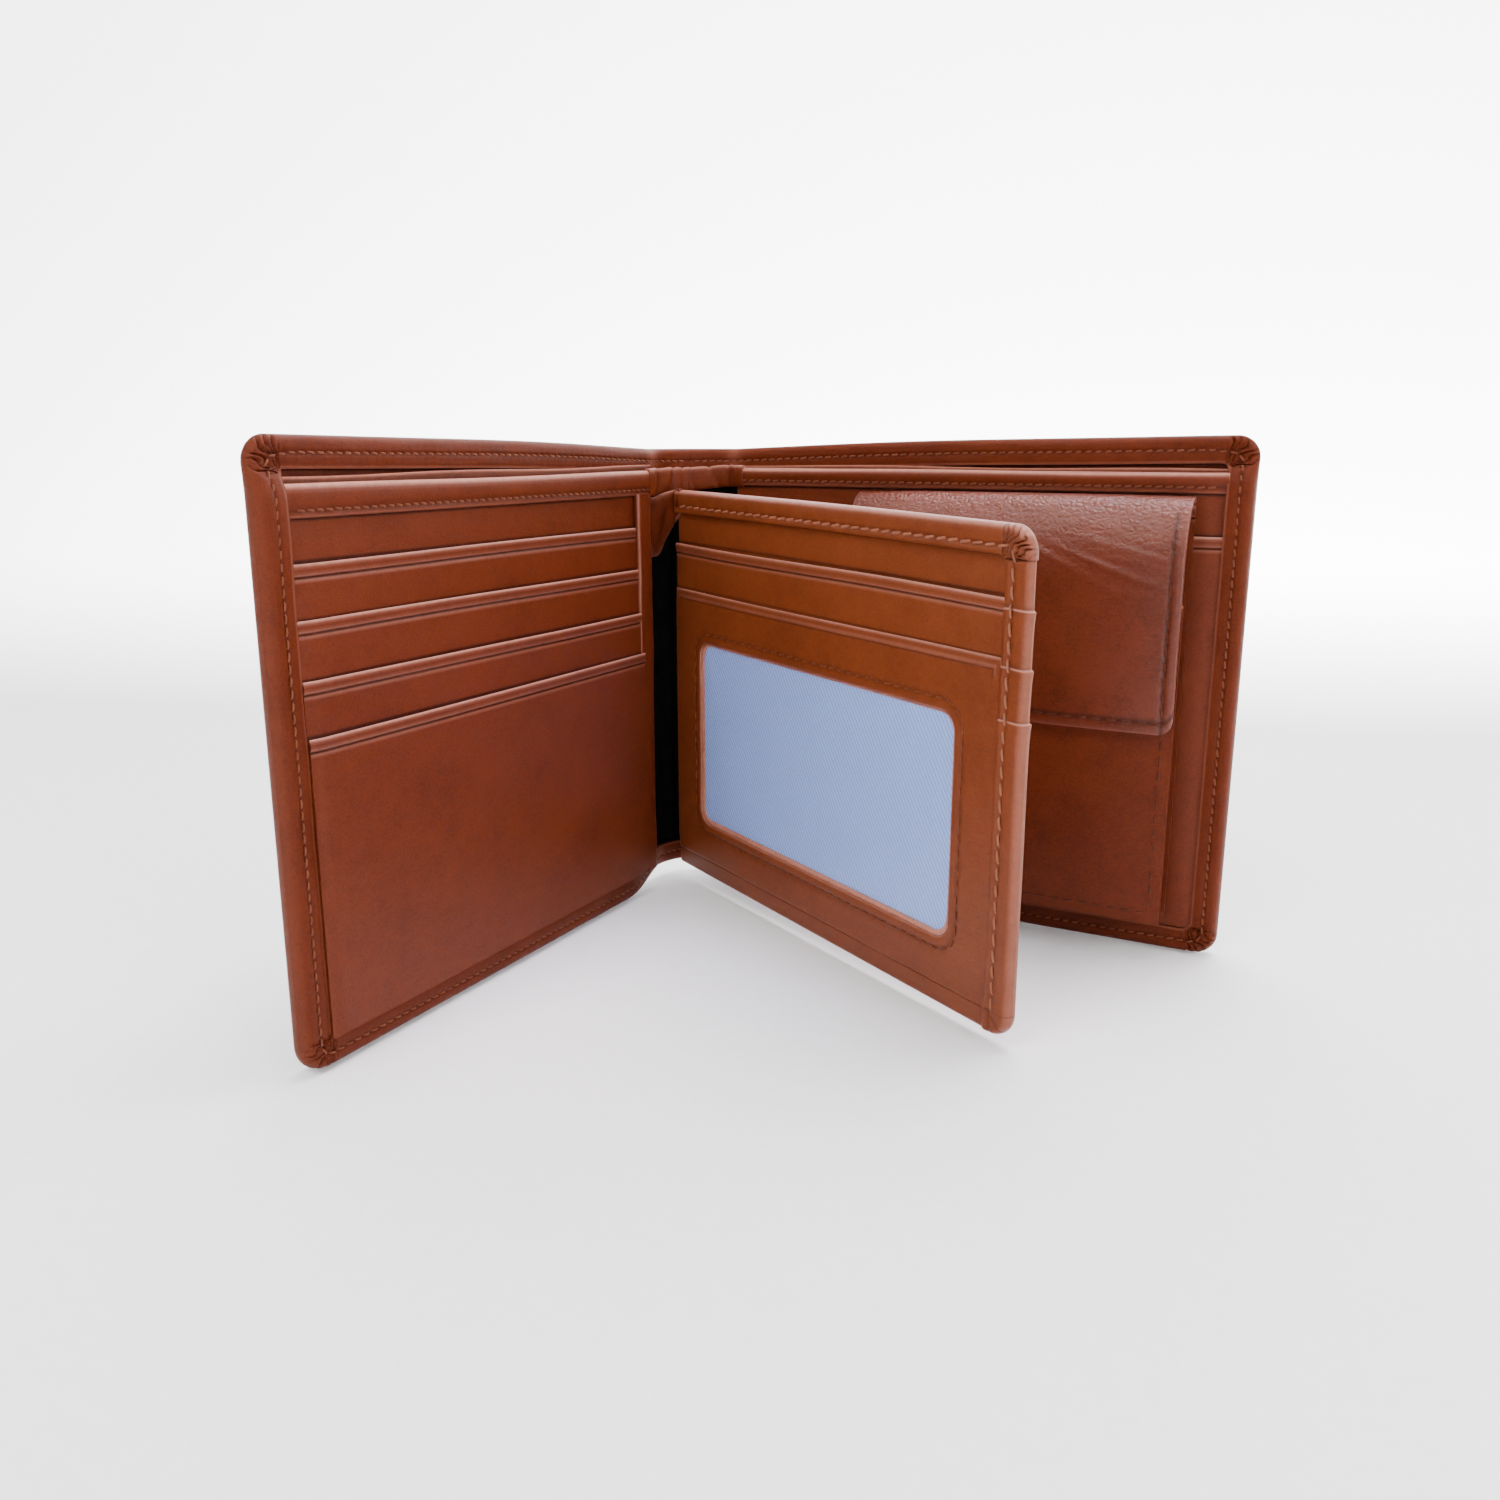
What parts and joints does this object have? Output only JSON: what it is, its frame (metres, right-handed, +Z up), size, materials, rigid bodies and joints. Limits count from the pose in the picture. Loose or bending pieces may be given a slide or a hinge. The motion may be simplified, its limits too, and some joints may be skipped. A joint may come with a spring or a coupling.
{
  "type": "bifold wallet",
  "caption": "Leather bifold wallet standing open: card pockets, centre leaf with a clear window, snap coin pouch and bill compartments.",
  "frame": {"origin": "centre of the standing wallet's footprint, on the surface it stands on", "axes": "+Z up along the standing height; the right half runs along +X with its outer face towards +Y, the left half runs along -Y with its outer face towards -X"},
  "size_m": [0.1174, 0.1174, 0.095],
  "materials": {
    "outer_leather": "smooth tan full-grain leather with a soft sheen",
    "inner_leather": "smooth tan leather with polished edges",
    "divider_leather": "thin matte tan split leather",
    "hinge_fabric": "black woven lining",
    "window_lining": "silver-blue twill lining with a satin sheen",
    "window_film": "clear flexible film",
    "thread": "waxed tan thread",
    "snap_metal": "satin nickel"
  },
  "bodies": {
    "right_half": {"right_cover": "outer_leather", "right_border": "outer_leather", "right_top_turning": "outer_leather", "right_border_stitches": "thread"},
    "right_divider": {"right_divider": "divider_leather"},
    "right_panel": {"right_inner_panel": "inner_leather", "right_top_hem": "inner_leather", "right_hem_stitches": "thread", "hidden_pocket": "inner_leather", "pouch_back": "inner_leather", "pouch_gusset_inner": "inner_leather", "pouch_gusset_outer": "inner_leather", "pouch_gusset_bottom": "inner_leather"},
    "pouch_front": {"pouch_front": "inner_leather", "pouch_stitches": "thread", "snap_stud": "snap_metal"},
    "coin_flap": {"coin_flap": "inner_leather", "flap_stitches": "thread", "snap_cap": "snap_metal", "snap_socket": "snap_metal"},
    "spine": {"spine_cover": "outer_leather", "spine_lining": "hinge_fabric", "spine_hem_band": "inner_leather", "spine_foot_band": "inner_leather", "leaf_hinge_root": "hinge_fabric"},
    "leaf_hinge": {"leaf_hinge_strip": "hinge_fabric"},
    "leaf": {"leaf_hinge_fold": "hinge_fabric", "leaf_core": "inner_leather", "leaf_front_panel": "inner_leather", "window_lining": "window_lining", "window_film": "window_film", "leaf_card_slot": "inner_leather", "window_frame": "inner_leather", "leaf_front_hem": "inner_leather", "leaf_back_panel": "inner_leather", "leaf_back_hem": "inner_leather", "leaf_back_pocket_1": "inner_leather", "leaf_back_pocket_2": "inner_leather", "leaf_back_pocket_3": "inner_leather", "window_stitches": "thread"},
    "left_half": {"left_cover": "outer_leather", "left_border": "outer_leather", "left_top_turning": "outer_leather", "left_border_stitches": "thread"},
    "left_divider": {"left_divider": "divider_leather"},
    "left_panel": {"left_inner_panel": "inner_leather", "left_top_hem": "inner_leather", "left_spine_strip": "inner_leather", "card_slot_1": "inner_leather", "card_slot_2": "inner_leather", "card_slot_3": "inner_leather", "card_slot_4": "inner_leather", "left_hem_stitches": "thread"}
  },
  "joints": [
    {"name": "left_fold", "type": "hinge", "parent": "spine", "child": "left_half", "pos_m": [-0.05822, 0.04428, 0.0475], "axis": [0, 0, -1], "range_deg": [-45, 45]},
    {"name": "spine_fold", "type": "hinge", "parent": "right_half", "child": "spine", "pos_m": [-0.04428, 0.05822, 0.0475], "axis": [0, 0, -1], "range_deg": [-45, 45]},
    {"name": "leaf_swing", "type": "hinge", "parent": "spine", "child": "leaf_hinge", "pos_m": [-0.05525, 0.04994, 0.0475], "axis": [0, 0, 1], "range_deg": [-17, 17]},
    {"name": "leaf_turn", "type": "hinge", "parent": "leaf_hinge", "child": "leaf", "pos_m": [-0.05278, 0.04861, 0.0475], "axis": [0, 0, -1], "range_deg": [0, 46]},
    {"name": "coin_flap_open", "type": "hinge", "parent": "right_panel", "child": "coin_flap", "pos_m": [0.01747, 0.05371, 0.0849], "axis": [-1, 0, 0], "range_deg": [0, 95]},
    {"name": "pouch_spread", "type": "hinge", "parent": "right_panel", "child": "pouch_front", "pos_m": [0.01747, 0.04911, 0.0072], "axis": [1, 0, 0], "range_deg": [0, 12.4]},
    {"name": "right_bill_open", "type": "hinge", "parent": "right_half", "child": "right_panel", "pos_m": [0.00571, 0.05572, 0.006], "axis": [1, 0, 0], "range_deg": [0, 3], "stiffness_Nm_per_rad": 0.6, "springref_deg": -1.15},
    {"name": "right_divider_lean", "type": "hinge", "parent": "right_half", "child": "right_divider", "pos_m": [0.00571, 0.05686, 0.006], "axis": [1, 0, 0], "range_deg": [0, 1.6]},
    {"name": "left_bill_open", "type": "hinge", "parent": "left_half", "child": "left_panel", "pos_m": [-0.05572, -0.00571, 0.006], "axis": [0, 1, 0], "range_deg": [0, 3], "stiffness_Nm_per_rad": 0.6, "springref_deg": -1.15},
    {"name": "left_divider_lean", "type": "hinge", "parent": "left_half", "child": "left_divider", "pos_m": [-0.05686, -0.00571, 0.006], "axis": [0, 1, 0], "range_deg": [0, 1.6]}
  ],
  "couplings": [
    {"joint": "spine_fold", "follows": "left_fold", "ratio": 1},
    {"joint": "leaf_swing", "follows": "left_fold", "ratio": 0.36667},
    {"joint": "pouch_spread", "follows": "coin_flap_open", "ratio": 0.12},
    {"joint": "right_divider_lean", "follows": "right_bill_open", "ratio": 0.5},
    {"joint": "left_divider_lean", "follows": "left_bill_open", "ratio": 0.5}
  ]
}
